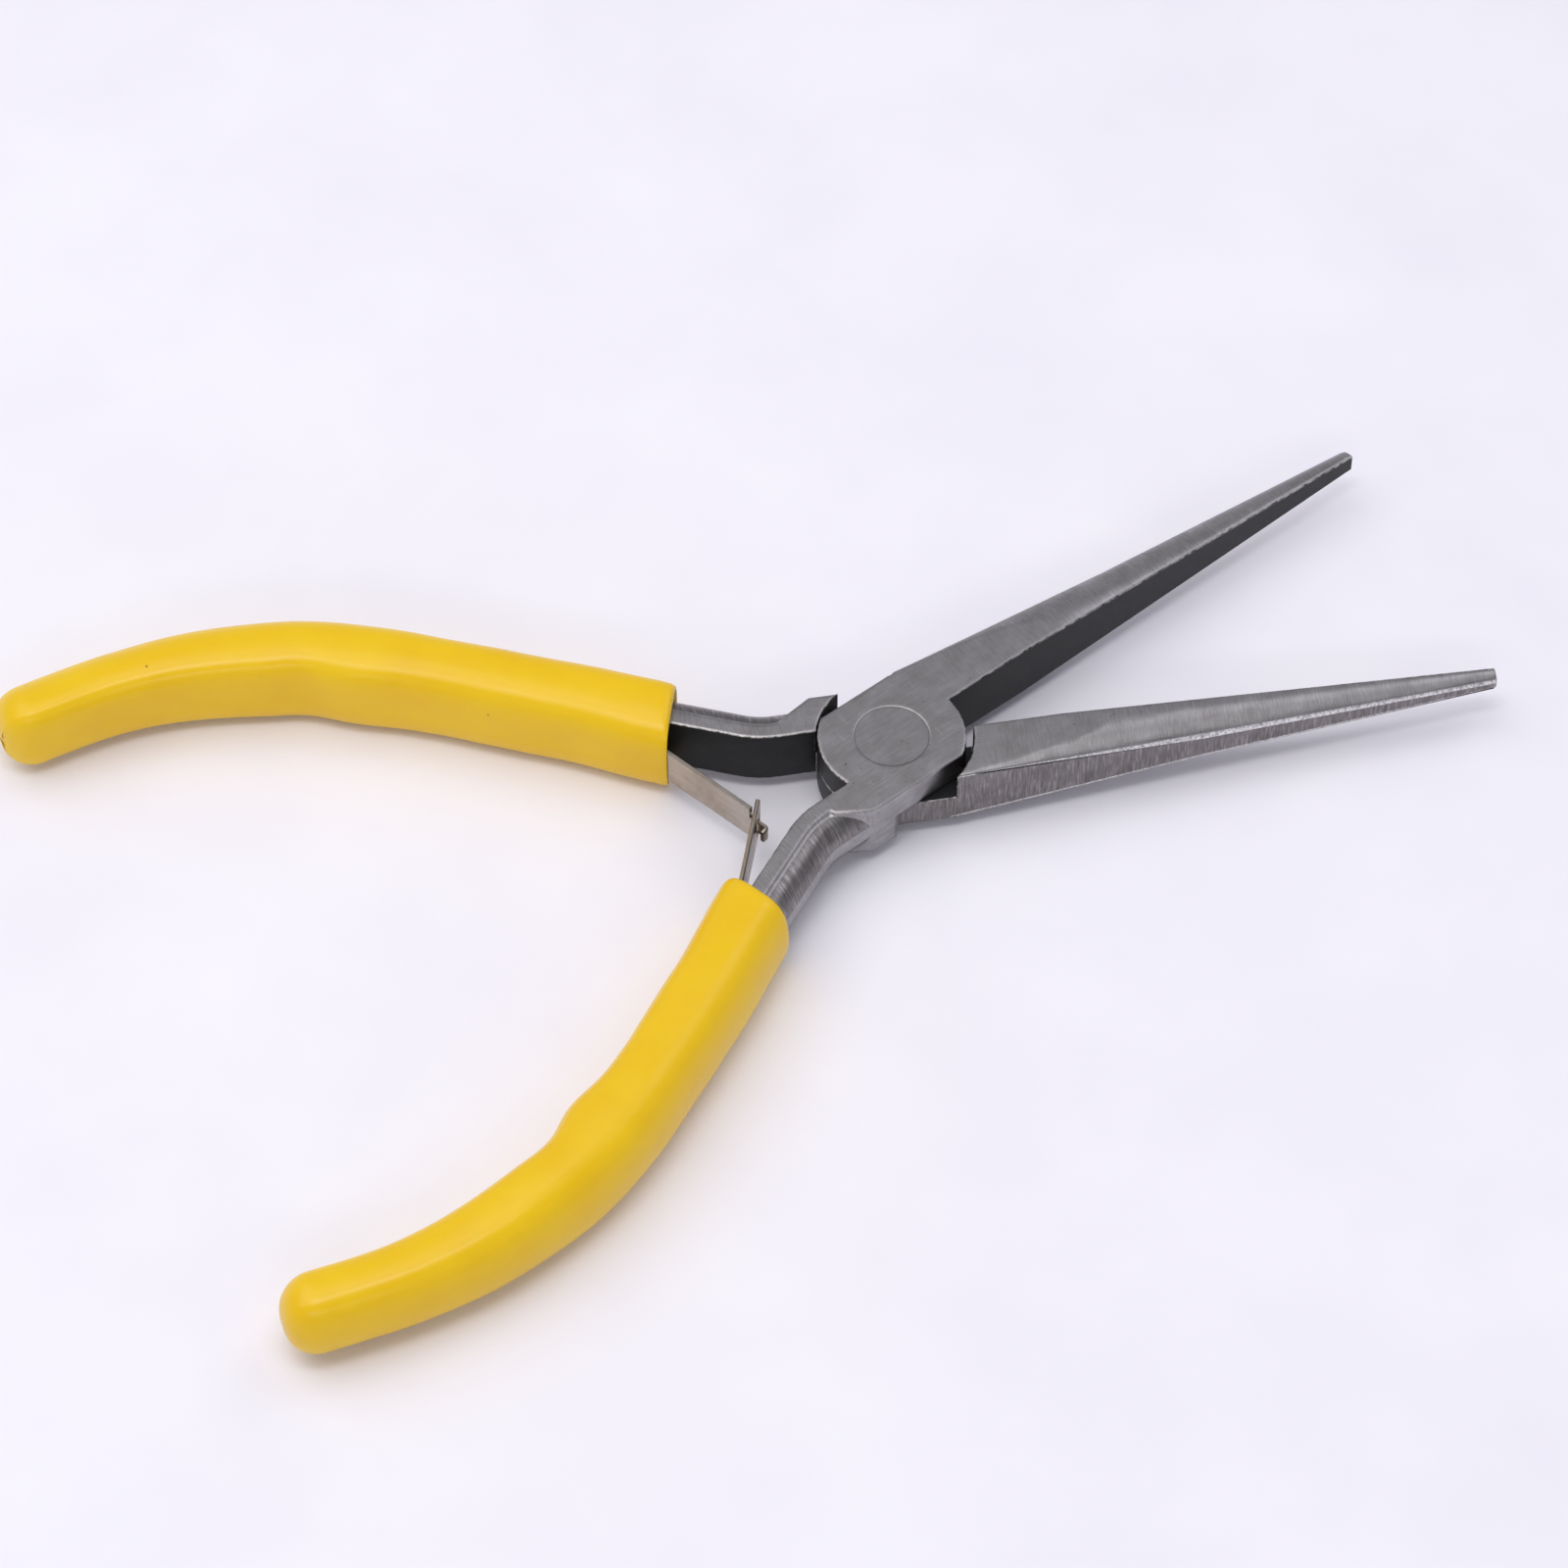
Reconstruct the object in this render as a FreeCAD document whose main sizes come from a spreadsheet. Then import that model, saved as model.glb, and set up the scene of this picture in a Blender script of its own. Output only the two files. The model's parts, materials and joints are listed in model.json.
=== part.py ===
import FreeCAD, Part
import math
import os
import Sketcher
from FreeCAD import Placement, Rotation, Vector

# Small needle nose pliers: two forged halves on a lap joint, held open by two leaf springs.
#
# Millimetres. +Z runs along the rivet, up, and +X lies midway between the two jaws, towards their
# tips. The origin is on the rivet's axis, in the joint's flat underside. Each half is drawn in its
# own frame, halfway through the joint, with its jaw's gripping face on the +X axis, the jaw on the
# +Y side of it and the handle on the -Y side. The upper half is turned up from the middle line, and
# the lower half is the same forging turned over.

SIZES = {
    # joint
    "joint_thick": 6.5,      # both laps together
    "joint_wide": 12.4,      # across the two flats of a lap
    "lap_dia": 14.8,         # round ends of a lap
    "lap_gap": 0.08,         # between the two laps
    "shoulder_gap": 0.12,    # from a lap's round end to the other half's handle shoulder
    "throat_gap": 0.8,       # from a lap's round end to the other half's jaw shoulder
    "wing_reach": 7.3,       # from the rivet to the end of the handle shoulder's flat
    "wing_slope": 3.3,       # length of the run from that flat down to the neck
    "rest_open": 28.8,       # angle between the jaws as the springs hold them
    # pivot rivet
    "rivet_dia": 4.6,
    "rivet_head": 7.5,
    "rivet_head_deep": 1.1,
    "rivet_play": 0.04,      # running clearance all round, in the lower half
    # jaw: widths are across the plan, faces are heights of the gripping face, flats are heights
    # of the outer facet
    "jaw_gap": 0.1,          # between the closed gripping faces
    "jaw_reach": 61.5,       # from the rivet to the tip
    "jaw_root": 5.0,         # from the rivet to where the taper starts
    "jaw_root_face": 7.74,   # before the joint's flats are ground across it
    "jaw_waist": 31.0,       # from the rivet to the middle section
    "jaw_waist_wide": 4.05,
    "jaw_waist_face": 5.08,
    "jaw_waist_flat": 3.3,
    "jaw_tip_wide": 1.45,
    "jaw_tip_face": 1.96,
    "jaw_tip_flat": 1.1,
    "jaw_crown": 1.19,       # radius of the ground crown, as a multiple of its chord
    # neck and tang
    "neck_offset": 3.95,     # centre line's distance from the gripping face's plane
    "neck_reach": 12.8,      # from the rivet to the corner of the neck
    "neck_bend": 8.0,        # radius of that corner
    "splay": 23.5,           # angle of the handle from the gripping face's plane
    "tang_wide": 4.2,
    "tang_round": 2.5,       # radius along the tang's outer edges
    "tang_step": 0.3,        # from the flat land down to where that rounding starts
    "tang_straight": 35.0,   # from the neck's corner to where the curl starts
    "curl_radius": 48.0,
    "tang_curl": 30.0,       # angle turned by the tang
    # vinyl sleeve
    "seat_upper": 10.5,      # from the neck's corner to the middle of the sleeve's mouth
    "seat_lower": 8.5,       # this sleeve is pushed on farther
    "mouth_tilt": 7.0,       # the mouth's inner side reaches farther forward
    "sleeve_wide": 8.2,
    "sleeve_thick": 9.7,
    "sleeve_shift": 0.4,     # its middle lies this far to the inner side of the tang's
    "sleeve_corner": 3.0,
    "sleeve_curl": 41.0,     # angle turned by the sleeve
    "sleeve_tail": 8.8,      # straight end after the curl
    "sleeve_dome": 2.6,      # radius around the closed end
    "sleeve_fit": 0.05,      # between sleeve and tang
    "sleeve_end_room": 1.0,  # empty length past the tang's end
    "sleeve_flare": 0.6,     # extra width of the mouth, where the leaf pushes it out
    "sleeve_flare_long": 7.0,
    # leaf springs: both are riveted to the tang's inner face
    "leaf_wide": 4.4,
    "leaf_thick": 0.45,
    "leaf_tail": 8.0,        # behind the root
    "leaf_root": 12.8,       # from the neck's corner to where the leaf lifts off the tang
    "lift_slotted": 18.5,    # angle between tang and leaf
    "lift_hooked": 27.0,
    "slot_wide": 2.2,
    "slot_long": 1.5,
    "slot_land": 0.6,        # steel left between slot and leaf's end
    "tongue_play": 0.3,      # each side of the tongue in the slot
    "tongue_past": 0.75,     # how far the tongue reaches beyond the slot
    "hook_long": 0.9,        # the bent end of the tongue
    "pin_dia": 2.0,          # rivets of the leaves
    "pin_deep": 2.6,
    "pin_head": 3.2,
    "pin_head_thick": 0.6,
    "pin_back": 4.0,         # from the leaf's root back to its rivet
    "leaf_room": 0.3,        # sleeve to leaf and rivet head
}

doc = FreeCAD.newDocument("pliers")


def fill_sheet():
    """Write every size into the sheet, name in column A and aliased value in column B."""
    sheet = doc.addObject("Spreadsheet::Sheet", "Sizes")
    for row, (name, value) in enumerate(SIZES.items(), start=1):
        sheet.set(f"A{row}", name)
        sheet.set(f"B{row}", str(value))
        sheet.setAlias(f"B{row}", name)
    doc.recompute()
    return sheet


sheet = fill_sheet()
HALF_THICK = "$joint_thick / 2"
HALF_OPEN = "$rest_open / 2"


def formula(text):
    """Turn $name into a reference to the sheet."""
    return text.replace("$", "Sizes.")


def number(text):
    """The value that FreeCAD's own expression engine gives for a formula."""
    value = sheet.evalExpression(formula(text))
    return float(getattr(value, "Value", value))


# ---------------------------------------------------------------- sketches

def plane(body, role):
    """The body's own origin plane or axis with this role."""
    return next(item for item in body.Origin.OriginFeatures if item.Role == role)


def new_sketch(body, name, role, shift=("0", "0", "0"), turn="0", about=Vector(0, 0, 1)):
    """A sketch on an origin plane, moved by shift and turned about one of its own axes."""
    sketch = body.newObject("Sketcher::SketchObject", name)
    sketch.AttachmentSupport = [(plane(body, role), "")]
    sketch.MapMode = "FlatFace"
    start = Vector(*(number(value) for value in shift))
    sketch.AttachmentOffset = Placement(start, Rotation(about, number(turn)))
    for axis, value in zip("xyz", shift):
        sketch.setExpression(f"AttachmentOffset.Base.{axis}", formula(value))
    if turn != "0":
        sketch.setExpression("AttachmentOffset.Rotation.Angle", formula(turn))
    return sketch


def arc_between(start, end, radius):
    """The short arc from start to end. A positive radius puts its centre left of the way."""
    chord = end - start
    across = Vector(-chord.y, chord.x, 0).normalize()
    height = math.sqrt(max(radius ** 2 - chord.Length ** 2 / 4, 0.0))
    centre = (start + end) * 0.5 + across * math.copysign(height, radius)
    first = math.atan2(start.y - centre.y, start.x - centre.x)
    last = math.atan2(end.y - centre.y, end.x - centre.x)
    if radius < 0:
        first, last = last, first
    return Part.ArcOfCircle(Part.Circle(centre, Vector(0, 0, 1), abs(radius)), first, last)


def draw(sketch, corners, closed=True):
    """Draw a run of edges. Each corner is (x, y) or (x, y, radius), all formulas, where the
    radius belongs to the arc that leaves the corner: "" is a straight edge, and a leading minus
    puts the arc's centre right of the way."""
    places = [Vector(number(corner[0]), number(corner[1]), 0) for corner in corners]
    count = len(corners) if closed else len(corners) - 1
    for index in range(count):
        start, end = places[index], places[(index + 1) % len(places)]
        radius = corners[index][2] if len(corners[index]) > 2 else ""
        if radius:
            size = number(radius.lstrip("-")) * (-1 if radius.startswith("-") else 1)
            geometry = sketch.addGeometry(arc_between(start, end, size), False)
            ends = (1, 2) if size > 0 else (2, 1)
            bind(sketch, Sketcher.Constraint("Radius", geometry, abs(size)), radius.lstrip("-"))
        else:
            geometry = sketch.addGeometry(Part.LineSegment(start, end), False)
            ends = (1, 2)
        if index == 0:
            first = (geometry, ends[0])
            pin(sketch, first, corners[0])
        else:
            sketch.addConstraint(Sketcher.Constraint("Coincident", *last, geometry, ends[0]))
        last = (geometry, ends[1])
        if closed and index == count - 1:
            sketch.addConstraint(Sketcher.Constraint("Coincident", *last, *first))
        else:
            pin(sketch, last, corners[index + 1])
    return sketch


def bind(sketch, constraint, text):
    """Add a constraint whose value is a formula."""
    index = sketch.addConstraint(constraint)
    sketch.setExpression(f"Constraints[{index}]", formula(text))


def pin(sketch, point, corner):
    """Hold a point at a corner's two formulas."""
    for kind, text in zip(("DistanceX", "DistanceY"), corner):
        bind(sketch, Sketcher.Constraint(kind, *point, number(text)), text)


def feature(body, kind, name, profile, **settings):
    """A PartDesign feature with its profile and settings, in which text is a formula."""
    made = body.newObject(f"PartDesign::{kind}", name)
    made.Profile = profile
    for key, value in settings.items():
        if isinstance(value, str) and value.startswith("="):
            made.setExpression(key, formula(value[1:]))
        else:
            setattr(made, key, value)
    doc.recompute()
    return made


def new_body(label, turn, flipped=False):
    """A body with its label, turned about the rivet to its place, the lower ones turned over."""
    body = doc.addObject("PartDesign::Body", label)
    body.Label = label
    over = Rotation(Vector(1, 0, 0), 180 if flipped else 0)
    height = Vector(0, 0, number(HALF_THICK))
    body.Placement = Placement(height, Rotation(Vector(0, 0, 1), number(turn)) * over)
    body.setExpression("Placement.Base.z", formula(HALF_THICK))
    return body


# ---------------------------------------------------------------- a half's reference lines

def along(distance, side="0"):
    """The point at a distance down the handle's straight, and to the inner side of its middle."""
    return (
        f"-$neck_reach - ({distance}) * cos($splay) - ({side}) * sin($splay)",
        f"-$neck_offset - ({distance}) * sin($splay) + ({side}) * cos($splay)",
    )


def curled(angle, past="0"):
    """The point on the curl after it has turned by an angle, and straight on from there."""
    x, y = along("$tang_straight")
    left = f"($splay - ({angle}))"
    return (
        f"{x} - $curl_radius * (sin($splay) - sin{left}) - ({past}) * cos{left}",
        f"{y} + $curl_radius * (cos($splay) - cos{left}) - ({past}) * sin{left}",
    )


NECK_TANGENT = "$neck_bend * tan($splay / 2)"
HALF_WIDE = "$joint_wide / 2"
LAP_RADIUS = "$lap_dia / 2"
FACE = "$jaw_gap / 2"
TANG_INNER = "($tang_wide / 2 - $neck_offset)"


# ---------------------------------------------------------------- forged half

def jaw_section(body, name, place, wide, face, flat):
    """Section of the jaw: flat gripping face, ground crown above and below, flat outer facet."""
    sketch = new_sketch(body, name, "YZ_Plane", ("0", "0", place))
    crown = f"$jaw_crown * sqrt(({wide} - {FACE}) ^ 2 + ({face} / 2 - {flat} / 2) ^ 2)"
    return draw(sketch, [
        (FACE, f"-{face} / 2", crown),
        (wide, f"-{flat} / 2"),
        (wide, f"{flat} / 2", crown),
        (FACE, f"{face} / 2"),
    ])


def jaw(body):
    """Tapered jaw, its root ground flush with both flats of the joint."""
    root = jaw_section(body, "jaw_root", "$jaw_root", HALF_WIDE, "$jaw_root_face", "$joint_thick")
    waist = jaw_section(body, "jaw_waist", "$jaw_waist", "$jaw_waist_wide", "$jaw_waist_face",
                        "$jaw_waist_flat")
    tip = jaw_section(body, "jaw_tip", "$jaw_reach", "$jaw_tip_wide", "$jaw_tip_face",
                      "$jaw_tip_flat")
    feature(body, "AdditiveLoft", "jaw_taper", root, Sections=[waist, tip], Ruled=True)
    for name, side, upward in (("top", "", True), ("bottom", "-", False)):
        sketch = new_sketch(body, f"jaw_{name}", "XY_Plane", ("0", "0", f"{side}{HALF_THICK}"))
        draw(sketch, [
            ("$jaw_root - 1", "-1"), ("$jaw_reach + 1", "-1"),
            ("$jaw_reach + 1", f"{HALF_WIDE} + 1"), ("$jaw_root - 1", f"{HALF_WIDE} + 1"),
        ])
        feature(body, "Pocket", f"jaw_{name}_ground", sketch, Length="=$jaw_root_face",
                Reversed=upward)


def lap(body):
    """Flat block of the joint: round lap ends, two flats, and the handle shoulder's wing."""
    neck_x = f"-$wing_reach - $wing_slope"
    sketch = new_sketch(body, "lap", "XY_Plane")
    draw(sketch, [
        (f"sqrt(({LAP_RADIUS}) ^ 2 - ({FACE}) ^ 2)", FACE),
        ("$jaw_root", FACE),
        ("$jaw_root", HALF_WIDE),
        (f"-sqrt(({LAP_RADIUS}) ^ 2 - ({HALF_WIDE}) ^ 2)", HALF_WIDE, LAP_RADIUS),
        (f"-sqrt(({LAP_RADIUS}) ^ 2 - {TANG_INNER} ^ 2)", TANG_INNER),
        (neck_x, TANG_INNER),
        (neck_x, "-$neck_offset"),
        ("-$wing_reach", f"-{HALF_WIDE}"),
        (f"sqrt(({LAP_RADIUS}) ^ 2 - ({HALF_WIDE}) ^ 2)", f"-{HALF_WIDE}", LAP_RADIUS),
    ])
    feature(body, "Pad", "lap_block", sketch, Length="=$joint_thick", Midplane=True)


def handle_line(body, name, start, end):
    """Centre line of the handle, from a start before the curl to an end after it."""
    sketch = new_sketch(body, name, "XY_Plane")
    return draw(sketch, [*start, (*along("$tang_straight"), "-$curl_radius"), *end], closed=False)


def tang_outline(middle, fit="0"):
    """Section of the tang about its middle: flat inside, a flat land above and below, and from a
    small step well rounded outside, all grown by a fit."""
    inner = f"({middle} + $tang_wide / 2 + {fit})"
    outer = f"({middle} - $tang_wide / 2 - {fit})"
    land = f"({HALF_THICK} + {fit})"
    round_top = f"({HALF_THICK} - $tang_step + {fit})"
    bend = f"($tang_round + {fit})"
    return [
        (inner, f"-{land}"),
        (inner, land),
        (f"{outer} + {bend}", land),
        (f"{outer} + {bend}", round_top, bend),
        (outer, f"{round_top} - {bend}"),
        (outer, f"{bend} - {round_top}", bend),
        (f"{outer} + {bend}", f"-{round_top}"),
        (f"{outer} + {bend}", f"-{land}"),
    ]


def neck_and_tang(body):
    """Handle bar, swept along the handle's centre line from inside the lap."""
    start = "-$jaw_root"
    line = handle_line(body, "tang_line", [
        (start, "-$neck_offset"),
        (f"-$neck_reach + {NECK_TANGENT}", "-$neck_offset", "$neck_bend"),
        along(NECK_TANGENT),
    ], [curled("$tang_curl")])
    section = new_sketch(body, "tang_section", "YZ_Plane", ("0", "0", start))
    draw(section, tang_outline("-$neck_offset"))
    feature(body, "AdditivePipe", "tang", section, Spine=(line, []), Mode="Standard")


def recess(body):
    """Room under the lap for the other half's lap, round at both shoulders."""
    shoulder = f"({LAP_RADIUS} + $shoulder_gap)"
    throat = f"({LAP_RADIUS} + $throat_gap)"
    sketch = new_sketch(body, "recess", "XY_Plane", ("0", "0", "$lap_gap / 2"))
    draw(sketch, [
        ("0", shoulder, shoulder), (f"-{shoulder}", "0", shoulder), ("0", f"-{shoulder}"),
        ("0", f"-{throat}", throat), (throat, "0", throat), ("0", throat),
    ])
    feature(body, "Pocket", "lap_recess", sketch, Length="=$joint_thick")


def rivet_bore(body, play):
    """Bore and countersink through the lap, with the rivet's fit in this half."""
    sketch = new_sketch(body, "bore", "XZ_Plane")
    draw(sketch, [
        ("0", "0"), (f"$rivet_dia / 2 + {play}", "0"),
        (f"$rivet_dia / 2 + {play}", f"{HALF_THICK} - $rivet_head_deep"),
        (f"$rivet_head / 2 + {play}", HALF_THICK), ("0", HALF_THICK),
    ])
    feature(body, "Groove", "rivet_bore", sketch, ReferenceAxis=(sketch, ["V_Axis"]), Angle=360)


def seat_sketch(body, name, distance):
    """A sketch on the tang's inner face: x runs towards the neck, y stands off the tang."""
    return new_sketch(body, name, "XY_Plane", (*along(distance, "$tang_wide / 2"), "0"), "$splay")


def pin_bore(body):
    """Blind bore in the tang for the rivet of the leaf."""
    sketch = seat_sketch(body, "pin_bore", "$leaf_root + $pin_back")
    draw(sketch, [("0", "0"), ("0", "-$pin_deep"), ("$pin_dia / 2", "-$pin_deep"),
                  ("$pin_dia / 2", "0")])
    feature(body, "Groove", "leaf_pin_bore", sketch, ReferenceAxis=(sketch, ["V_Axis"]), Angle=360)


def forged_half(label, turn, flipped, play):
    """One whole forging."""
    body = new_body(label, turn, flipped)
    jaw(body)
    lap(body)
    neck_and_tang(body)
    recess(body)
    rivet_bore(body, play)
    pin_bore(body)
    return body


# ---------------------------------------------------------------- rivets

def pivot_rivet():
    """Rivet of the joint, both heads countersunk and ground flush."""
    body = new_body("pivot_rivet", "0")
    sketch = new_sketch(body, "rivet", "XZ_Plane")
    draw(sketch, [
        ("0", f"-{HALF_THICK}"), ("$rivet_head / 2", f"-{HALF_THICK}"),
        ("$rivet_dia / 2", f"$rivet_head_deep - {HALF_THICK}"),
        ("$rivet_dia / 2", f"{HALF_THICK} - $rivet_head_deep"),
        ("$rivet_head / 2", HALF_THICK), ("0", HALF_THICK),
    ])
    feature(body, "Revolution", "turned", sketch, ReferenceAxis=(sketch, ["V_Axis"]), Angle=360)
    return body


def leaf_pin(label, turn, flipped):
    """Small rivet through the leaf into the tang, with a flat head on the leaf."""
    body = new_body(label, turn, flipped)
    sketch = seat_sketch(body, "pin", "$leaf_root + $pin_back")
    draw(sketch, [
        ("0", "-$pin_deep"), ("$pin_dia / 2", "-$pin_deep"), ("$pin_dia / 2", "$leaf_thick"),
        ("$pin_head / 2", "$leaf_thick"), ("$pin_head / 2", "$leaf_thick + $pin_head_thick"),
        ("0", "$leaf_thick + $pin_head_thick"),
    ])
    feature(body, "Revolution", "turned", sketch, ReferenceAxis=(sketch, ["V_Axis"]), Angle=360)
    return body


# ---------------------------------------------------------------- leaf springs

# Both roots lie the same distance behind the rivet and off the middle line, so the two leaves
# cross where the triangle over their roots closes.
ROOT_X, ROOT_Y = along("$leaf_root", "$tang_wide / 2")
ROOT_OFF = f"-(({ROOT_X}) * sin({HALF_OPEN}) + ({ROOT_Y}) * cos({HALF_OPEN}))"
SLOTTED_TURN = f"($splay + {HALF_OPEN} + $lift_slotted)"
HOOKED_TURN = f"($splay + {HALF_OPEN} + $lift_hooked)"
CROSSING = f"2 * ({ROOT_OFF}) / (tan{SLOTTED_TURN} + tan{HOOKED_TURN})"
SLOTTED_REACH = f"({CROSSING}) / cos{SLOTTED_TURN}"
HOOKED_REACH = f"({CROSSING}) / cos{HOOKED_TURN}"


def leaf_profile(body, lift, reach):
    """Side view of a leaf: flat on the tang behind its root, lifted and straight from there."""
    sketch = seat_sketch(body, "leaf", "$leaf_root")
    draw(sketch, [
        ("-$leaf_tail", "0"), ("0", "0"),
        (f"({reach}) * cos({lift})", f"({reach}) * sin({lift})"),
        (f"({reach}) * cos({lift}) - $leaf_thick * sin({lift})",
         f"({reach}) * sin({lift}) + $leaf_thick * cos({lift})"),
        (f"-$leaf_thick * tan({lift} / 2)", "$leaf_thick"),
        ("-$leaf_tail", "$leaf_thick"),
    ])
    feature(body, "Pad", "strip", sketch, Length="=$leaf_wide", Midplane=True)


def leaf_hole(body):
    """Hole in the leaf for its rivet."""
    sketch = seat_sketch(body, "hole", "$leaf_root + $pin_back")
    draw(sketch, [("0", "-1"), ("$pin_dia / 2", "-1"), ("$pin_dia / 2", "$leaf_thick + 1"),
                  ("0", "$leaf_thick + 1")])
    feature(body, "Groove", "pin_hole", sketch, ReferenceAxis=(sketch, ["V_Axis"]), Angle=360)


def lifted_sketch(body, name, lift):
    """A sketch at a leaf's root whose x runs along the lifted part."""
    return new_sketch(body, name, "XY_Plane", (ROOT_X, ROOT_Y, "0"), f"$splay + {lift}")


def box_run(sketch, first, last, low, high):
    """A rectangle from first to last along the leaf, and from low to high across it."""
    return draw(sketch, [(first, low), (last, low), (last, high), (first, high)])


def slotted_leaf():
    """Leaf of the upper half, with a slot near its end for the other leaf's tongue."""
    body = new_body("leaf_spring_slotted", HALF_OPEN)
    leaf_profile(body, "$lift_slotted", f"{SLOTTED_REACH} + $slot_long / 2 + $slot_land")
    leaf_hole(body)
    sketch = lifted_sketch(body, "slot", "$lift_slotted")
    box_run(sketch, f"{SLOTTED_REACH} - $slot_long / 2", f"{SLOTTED_REACH} + $slot_long / 2",
            "-1", "$leaf_thick + 1")
    feature(body, "Pocket", "end_slot", sketch, Length="=$slot_wide", Midplane=True)
    return body


def hooked_leaf():
    """Leaf of the lower half: its narrow tongue goes through the slot and hooks over."""
    body = new_body("leaf_spring_hooked", f"-({HALF_OPEN})", True)
    neck = f"{HOOKED_REACH} - $slot_long / 2"
    leaf_profile(body, "$lift_hooked", neck)
    leaf_hole(body)
    sketch = lifted_sketch(body, "tongue", "$lift_hooked")
    end = f"{HOOKED_REACH} + $slot_long / 2 + $tongue_past"
    draw(sketch, [
        (f"{neck} - 0.5", "0"), (end, "0"), (end, "$leaf_thick + $hook_long"),
        (f"{end} - $leaf_thick", "$leaf_thick + $hook_long"),
        (f"{end} - $leaf_thick", "$leaf_thick"), (f"{neck} - 0.5", "$leaf_thick"),
    ])
    feature(body, "Pad", "hooked_tongue", sketch, Length="=$slot_wide - 2 * $tongue_play",
            Midplane=True)
    return body


# ---------------------------------------------------------------- vinyl sleeve

# far enough ahead of the mouth's middle to be clear of its forward side
PAST_MOUTH = "(0.5 + $sleeve_wide * tan($mouth_tilt))"


def square_sketch(body, name, place, turn="$splay"):
    """A sketch at a place on the handle, square to it: x points to the inner side, y up."""
    x, y = place
    return new_sketch(body, name, "YZ_Plane", (y, "0", x), turn, Vector(0, 1, 0))


def sleeve_outline(flare="0", inset="0"):
    """Rounded section of the sleeve about the tang's middle, wider on its inner side by a flare,
    and smaller all round by an inset."""
    low = f"($sleeve_shift - $sleeve_wide / 2 + {inset})"
    high = f"($sleeve_shift + $sleeve_wide / 2 + {flare} - {inset})"
    top = f"($sleeve_thick / 2 - {inset})"
    bend = f"($sleeve_corner - {inset})"
    return [
        (low, f"{top} - {bend}"), (low, f"{bend} - {top}", bend),
        (f"{low} + {bend}", f"-{top}"), (f"{high} - {bend}", f"-{top}", bend),
        (high, f"{bend} - {top}"), (high, f"{top} - {bend}", bend),
        (f"{high} - {bend}", top), (f"{low} + {bend}", top, bend),
    ]


def sleeve(label, turn, flipped, seat):
    """Slip-on vinyl sleeve: closed round end, the tang's own shape inside, room for the leaf."""
    body = new_body(label, turn, flipped)
    flare_end = along(f"{seat} + $sleeve_flare_long")
    mouth = draw(square_sketch(body, "mouth", along(seat), "$splay - $mouth_tilt"),
                 sleeve_outline("$sleeve_flare"))
    waist = draw(square_sketch(body, "waist", flare_end), sleeve_outline())
    feature(body, "AdditiveLoft", "flare", mouth, Sections=[waist], Ruled=True)
    line = handle_line(body, "sleeve_line", [flare_end], [
        curled("$sleeve_curl"), curled("$sleeve_curl", "$sleeve_tail - $sleeve_dome")])
    skin = draw(square_sketch(body, "skin", flare_end), sleeve_outline())
    feature(body, "AdditivePipe", "sleeve_skin", skin, Spine=(line, []), Mode="Standard")
    round_end(body)
    before = along(f"{seat} - {PAST_MOUTH}")
    inner_line = handle_line(body, "inner_line", [before], [
        curled("$tang_curl"), curled("$tang_curl", "$sleeve_end_room")])
    inner = draw(square_sketch(body, "inner", before), tang_outline("0", "$sleeve_fit"))
    feature(body, "SubtractivePipe", "inside", inner, Spine=(inner_line, []), Mode="Standard")
    leaf_room(body, seat)
    return body


def round_end(body):
    """Dome over the closed end, lofted through shrinking sections."""
    sections = []
    for step, (forward, inset) in enumerate((("0", "0"), ("0.5", "0.13"), ("0.87", "0.5"),
                                             ("1", "0.85"))):
        place = curled("$sleeve_curl", f"$sleeve_tail + ({forward} - 1) * $sleeve_dome")
        sketch = square_sketch(body, f"dome_{step}", place, "$splay - $sleeve_curl")
        sections.append(draw(sketch, sleeve_outline("0", f"{inset} * $sleeve_dome")))
    feature(body, "AdditiveLoft", "round_end", sections[0], Sections=sections[1:], Ruled=True)


def leaf_room(body, seat):
    """Slot inside the sleeve over the leaf and its rivet, opening towards the mouth."""
    sketch = seat_sketch(body, "leaf_room", "$leaf_root")
    mouth = f"($leaf_root - {seat} + {PAST_MOUTH})"
    low = "$leaf_thick + $pin_head_thick + $leaf_room"
    draw(sketch, [
        ("-$leaf_tail - $leaf_room", "-$leaf_thick"), (mouth, "-$leaf_thick"),
        (mouth, f"$leaf_thick + $leaf_room + {mouth} * tan($lift_hooked)"),
        ("$pin_head_thick / tan($lift_hooked)", low),
        ("-$leaf_tail - $leaf_room", low),
    ])
    feature(body, "Pocket", "room", sketch, Length="=$leaf_wide + 2 * $leaf_room", Midplane=True)


# ---------------------------------------------------------------- the whole

def main():
    """Build every piece, check them all, then write them."""
    lower_turn = f"-({HALF_OPEN})"
    pieces = [
        forged_half("upper_half", HALF_OPEN, False, "0"),
        forged_half("lower_half", lower_turn, True, "$rivet_play"),
        pivot_rivet(),
        leaf_pin("spring_rivet_upper", HALF_OPEN, False),
        leaf_pin("spring_rivet_lower", lower_turn, True),
        slotted_leaf(),
        hooked_leaf(),
        sleeve("grip_upper", HALF_OPEN, False, "$seat_upper"),
        sleeve("grip_lower", lower_turn, True, "$seat_lower"),
    ]
    doc.recompute()
    for item in doc.Objects:
        if {"Invalid", "Error"} & set(item.State):
            raise RuntimeError(f"{item.Name} failed: {item.State}")
    for piece in pieces:
        if piece.Shape.isNull() or not piece.Shape.isValid():
            raise RuntimeError(f"{piece.Label} has no valid shape")
    os.makedirs("parts", exist_ok=True)
    for piece in pieces:
        piece.Shape.exportStep(f"parts/{piece.Label}.step")


main()
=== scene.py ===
import json
import math
import bmesh
import bpy
from mathutils import Matrix, Vector, noise


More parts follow.
